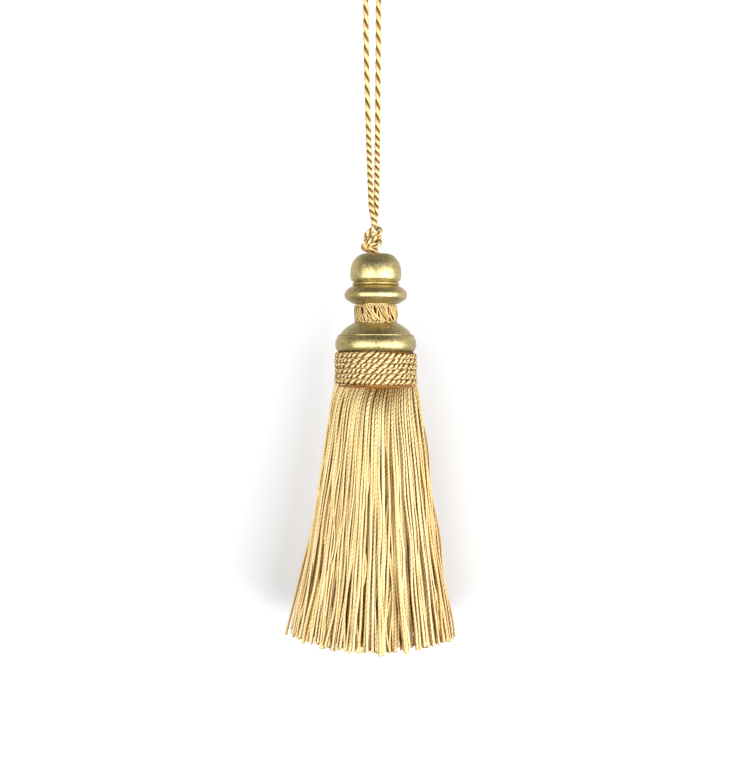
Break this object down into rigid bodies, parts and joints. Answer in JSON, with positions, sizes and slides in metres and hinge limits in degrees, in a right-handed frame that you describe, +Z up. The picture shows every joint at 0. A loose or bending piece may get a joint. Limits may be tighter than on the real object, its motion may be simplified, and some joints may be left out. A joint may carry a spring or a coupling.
{
  "type": "key tassel on a cord loop",
  "caption": "Hanging tassel: a turned gold head on a knotted loop of twisted cord, a wound cord band and a long skirt of silk yarn.",
  "frame": {"origin": "the inside top of the cord's loop, where the tassel hangs", "axes": "+Z up along the hanging tassel, +X to the right as seen from the front, the front faces -Y"},
  "size_m": [0.0638, 0.0638, 0.2684],
  "materials": {
    "silk_cord": "shiny two-ply twisted silk cord, pale gold with brown shade between the plies",
    "gold_paint": "turned wood in satin metallic gold paint with a fine grain",
    "silk_gimp": "gimp braid of fine shiny threads",
    "band_cord": "two-ply cord wound side by side",
    "brown_thread": "matt orange-brown binding thread",
    "silk_yarn": "shiny cream-gold twisted yarn, hanging free"
  },
  "bodies": {
    "root": {"cord_loop": "silk_cord", "cord_knot": "silk_cord", "head": "gold_paint", "neck_gimp": "silk_gimp", "cord_band": "band_cord", "binding": "brown_thread", "skirt": "silk_yarn"}
  },
  "joints": []
}
